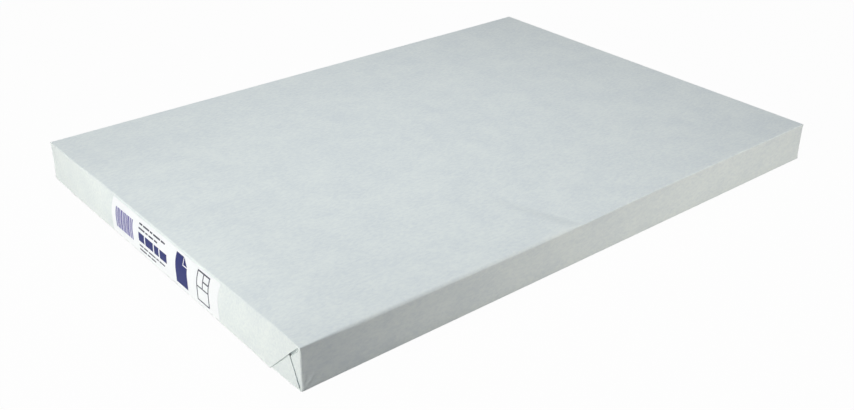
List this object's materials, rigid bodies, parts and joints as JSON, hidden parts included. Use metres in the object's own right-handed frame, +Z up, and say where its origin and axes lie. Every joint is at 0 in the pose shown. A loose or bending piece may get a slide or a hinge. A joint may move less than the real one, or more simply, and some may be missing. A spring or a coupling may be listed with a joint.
{
  "type": "ream of paper",
  "caption": "Sealed ream of large-format paper: flat stack in a pale wrapper with folded ends and a printed label over one short end.",
  "frame": {"origin": "centre of the underside, which lies on the surface that the ream rests on", "axes": "X along the long side, with the labelled short end at -X; Y across the ream; Z up through the stack"},
  "size_m": [0.4526, 0.322, 0.0287],
  "materials": {
    "wrapper_paper": "matt pale blue-grey wrapping paper with a fine fibre mottle",
    "label_paper": "smooth white label paper",
    "ink_blue": "matt dark blue-violet ink on label paper",
    "ink_grey": "matt dark grey ink on label paper",
    "ink_violet": "matt light violet ink on label paper"
  },
  "bodies": {
    "root": {"wrapped_ream": "wrapper_paper", "end_label": "label_paper", "print_blue": "ink_blue", "print_grey": "ink_grey", "print_violet": "ink_violet"}
  },
  "joints": []
}
